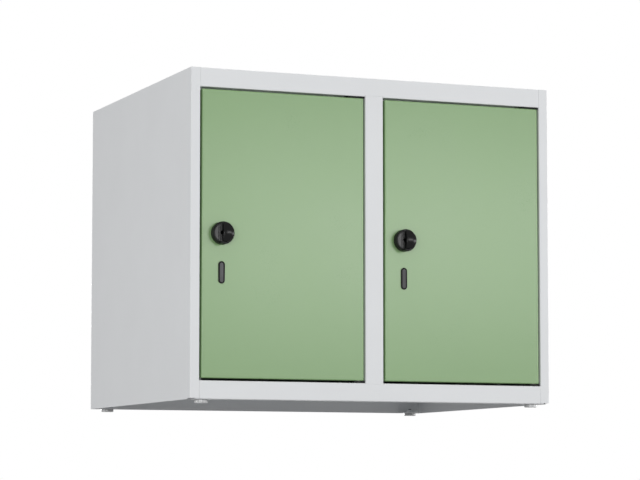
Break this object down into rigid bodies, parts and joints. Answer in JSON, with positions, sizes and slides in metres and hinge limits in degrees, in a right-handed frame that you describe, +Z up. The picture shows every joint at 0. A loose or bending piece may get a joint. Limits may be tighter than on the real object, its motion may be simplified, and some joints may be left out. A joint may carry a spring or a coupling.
{
  "type": "locker cabinet",
  "caption": "Low steel locker cabinet with side-by-side compartments, flush hinged doors and rotary padlock latches, on round feet.",
  "frame": {"origin": "middle of the footprint (doors' latches included), on the surface under the feet", "axes": "+Z up, +X to the right of someone facing the doors, the doors face -Y"},
  "size_m": [0.6, 0.52, 0.505],
  "materials": {
    "body_paint": "fine-textured light grey powder coat",
    "door_paint": "fine-textured pale green powder coat",
    "latch_black": "moulded black, semi-gloss",
    "pad_grey": "soft dark grey",
    "foot_plastic": "moulded light grey, satin",
    "hinge_plastic": "moulded black, matt",
    "stop_rubber": "moulded rubber",
    "zinc_steel": "bright zinc plate"
  },
  "bodies": {
    "cabinet": {"left_side_panel": "body_paint", "right_side_panel": "body_paint", "top_panel": "body_paint", "floor_panel": "body_paint", "back_panel": "body_paint", "mullion": "body_paint", "centre_partition": "body_paint", "front_left_base_plate": "body_paint", "front_right_base_plate": "body_paint", "rear_left_base_plate": "body_paint", "rear_right_base_plate": "body_paint", "front_left_foot": "foot_plastic", "front_right_foot": "foot_plastic", "rear_left_foot": "foot_plastic", "rear_right_foot": "foot_plastic", "foot_screws": "zinc_steel", "foot_nuts": "zinc_steel", "left_upper_hinge_block": "hinge_plastic", "left_lower_hinge_block": "hinge_plastic", "left_rubber_stops": "stop_rubber", "right_upper_hinge_block": "hinge_plastic", "right_lower_hinge_block": "hinge_plastic", "right_rubber_stops": "stop_rubber"},
    "left_door": {"left_door_skin": "door_paint", "left_door_stiffener": "door_paint", "left_upper_pin": "zinc_steel", "left_lower_pin": "zinc_steel", "left_upper_pin_bracket": "door_paint", "left_lower_pin_bracket": "door_paint", "left_latch_housing": "latch_black", "left_latch_ring_nut": "zinc_steel", "left_pad_holder": "latch_black", "left_pad_strip": "pad_grey"},
    "left_latch": {"left_latch_knob": "latch_black", "left_latch_cam": "zinc_steel", "left_cam_washer": "zinc_steel", "left_cam_screw": "zinc_steel"},
    "right_door": {"right_door_skin": "door_paint", "right_door_stiffener": "door_paint", "right_upper_pin": "zinc_steel", "right_lower_pin": "zinc_steel", "right_upper_pin_bracket": "door_paint", "right_lower_pin_bracket": "door_paint", "right_latch_housing": "latch_black", "right_latch_ring_nut": "zinc_steel", "right_pad_holder": "latch_black", "right_pad_strip": "pad_grey"},
    "right_latch": {"right_latch_knob": "latch_black", "right_latch_cam": "zinc_steel", "right_cam_washer": "zinc_steel", "right_cam_screw": "zinc_steel"}
  },
  "joints": [
    {"name": "left_door_swing", "type": "hinge", "parent": "cabinet", "child": "left_door", "pos_m": [-0.026, -0.234, 0.2523], "axis": [0, 0, 1], "range_deg": [0, 110]},
    {"name": "left_latch_turn", "type": "hinge", "parent": "left_door", "child": "left_latch", "pos_m": [-0.2505, -0.24, 0.2545], "axis": [0, 1, 0], "range_deg": [0, 90]},
    {"name": "right_door_swing", "type": "hinge", "parent": "cabinet", "child": "right_door", "pos_m": [0.274, -0.234, 0.2523], "axis": [0, 0, 1], "range_deg": [0, 110]},
    {"name": "right_latch_turn", "type": "hinge", "parent": "right_door", "child": "right_latch", "pos_m": [0.0495, -0.24, 0.2545], "axis": [0, 1, 0], "range_deg": [0, 90]}
  ]
}
